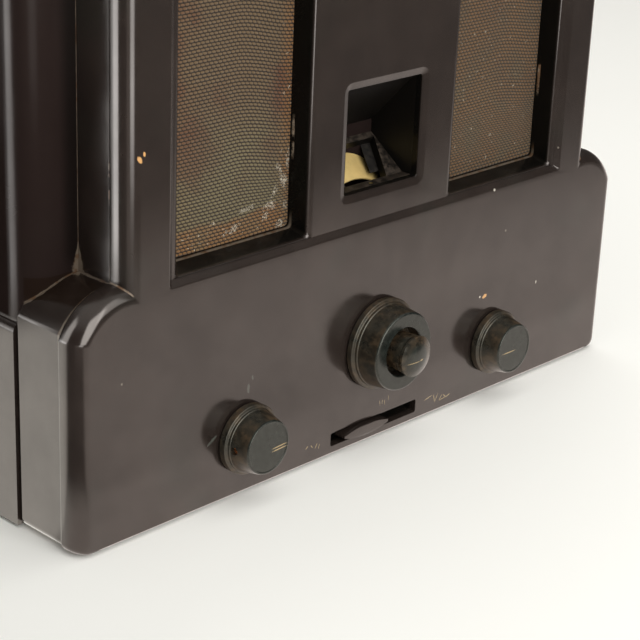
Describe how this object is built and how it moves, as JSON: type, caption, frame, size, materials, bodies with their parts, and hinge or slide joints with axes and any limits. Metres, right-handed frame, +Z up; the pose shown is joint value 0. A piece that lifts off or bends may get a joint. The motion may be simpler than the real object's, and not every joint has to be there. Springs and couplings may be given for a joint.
{
  "type": "tabletop radio",
  "caption": "Upright dark phenolic valve table radio: rounded shoulders, twin cloth speaker openings, small dial window, three knobs and a sliding lever.",
  "frame": {"origin": "middle of the outline seen from above, at the underside of the rubber feet", "axes": "+Z up; the front with the dial and knobs faces -Y; +X is to the right seen from the front"},
  "size_m": [0.369, 0.2606, 0.4475],
  "materials": {
    "phenolic_case": "moulded dark brown phenolic, satin to gloss",
    "phenolic_knob": "moulded brown phenolic, polished",
    "dial_housing": "dull dark phenolic",
    "fibreboard": "hard pressed fibreboard",
    "baffle_ply": "unfinished plywood",
    "insulating_board": "brown insulating laminate",
    "screw_steel": "dulled zinc-plated steel",
    "screw_brass": "dulled brass",
    "rusty_steel": "rusted steel",
    "foot_rubber": "black rubber",
    "gland_rubber": "black rubber",
    "speaker_fabric": "woven cotton, aged",
    "dial_black": "black card-like sheet",
    "scale_cream": "translucent cream celluloid",
    "disc_alloy": "dull sheet metal",
    "lamp_glass": "clear glass",
    "holder_brass": "dull brass",
    "chassis_steel": "grey plated steel sheet",
    "gang_alloy": "plated steel sheet",
    "vane_alloy": "aluminium vanes",
    "transformer_black": "black varnished laminations",
    "can_alloy": "drawn aluminium",
    "valve_base_brown": "moulded phenolic",
    "valve_glass": "clear glass",
    "control_black": "black lacquered steel",
    "spindle_steel": "turned steel",
    "frame_black": "black enamel",
    "cone_paper": "pressed paper pulp"
  },
  "bodies": {
    "case": {"cabinet": "phenolic_case", "back_cover": "fibreboard", "back_screws": "screw_steel", "base_cover": "fibreboard", "rubber_feet": "foot_rubber", "chassis_bolts": "screw_steel", "baffle_board": "baffle_ply", "baffle_screws": "screw_steel", "speaker_cloth": "speaker_fabric", "dial_escutcheon": "dial_housing", "escutcheon_screws": "screw_brass", "dial_mask": "dial_black", "dial_lamp": "lamp_glass", "lamp_holder": "holder_brass", "chassis": "chassis_steel", "gang_frame": "gang_alloy", "gang_stators": "vane_alloy", "stator_bars": "insulating_board", "mains_transformer": "transformer_black", "smoothing_cans": "can_alloy", "coil_cans": "can_alloy", "valve_holders": "insulating_board", "valve_bases": "valve_base_brown", "valve_bulbs": "valve_glass", "smoothing_choke": "transformer_black", "socket_strip": "insulating_board", "mains_gland": "gland_rubber", "volume_control": "control_black", "tone_control": "control_black", "control_nuts": "screw_brass", "tuning_bush": "holder_brass", "trimmer_condenser": "gang_alloy", "wave_switch": "insulating_board", "speaker_frame": "frame_black", "speaker_cone": "cone_paper", "speaker_magnet": "frame_black", "speaker_bolts": "screw_steel", "output_transformer": "transformer_black"},
    "volume": {"volume_knob": "phenolic_knob", "volume_knob_screw": "rusty_steel", "volume_spindle": "spindle_steel"},
    "tone": {"tone_knob": "phenolic_knob", "tone_knob_screw": "rusty_steel", "tone_spindle": "spindle_steel"},
    "gang": {"gang_rotor": "vane_alloy", "drive_disc": "disc_alloy", "tuning_scale": "scale_cream"},
    "tuning": {"tuning_knob": "phenolic_knob", "tuning_knob_screw": "rusty_steel", "tuning_spindle": "spindle_steel"},
    "trimmer": {"trimmer_knob": "phenolic_knob", "trimmer_knob_screw": "rusty_steel", "trimmer_spindle": "spindle_steel"},
    "lever": {"lever_knob": "phenolic_knob", "wave_slide": "spindle_steel"}
  },
  "joints": [
    {"name": "volume_turn", "type": "hinge", "parent": "case", "child": "volume", "pos_m": [-0.0878, -0.10385, 0.0294], "axis": [0, 1, 0], "range_deg": [-225, 45]},
    {"name": "tone_turn", "type": "hinge", "parent": "case", "child": "tone", "pos_m": [0.0878, -0.10385, 0.0294], "axis": [0, 1, 0], "range_deg": [-45, 225]},
    {"name": "gang_turn", "type": "hinge", "parent": "case", "child": "gang", "pos_m": [0, -0.10385, 0.0987], "axis": [0, 1, 0], "range_deg": [-90, 90]},
    {"name": "tuning_turn", "type": "hinge", "parent": "case", "child": "tuning", "pos_m": [0, -0.10385, 0.0523], "axis": [0, 1, 0], "range_deg": [-954, 954]},
    {"name": "trimmer_turn", "type": "hinge", "parent": "case", "child": "trimmer", "pos_m": [0, -0.10385, 0.0523], "axis": [0, 1, 0], "range_deg": [-90, 90]},
    {"name": "wave_lever", "type": "slide", "parent": "case", "child": "lever", "axis": [1, 0, 0], "range_m": [-0.006, 0.02]}
  ],
  "couplings": [
    {"joint": "tuning_turn", "follows": "gang_turn", "ratio": -10.6}
  ]
}
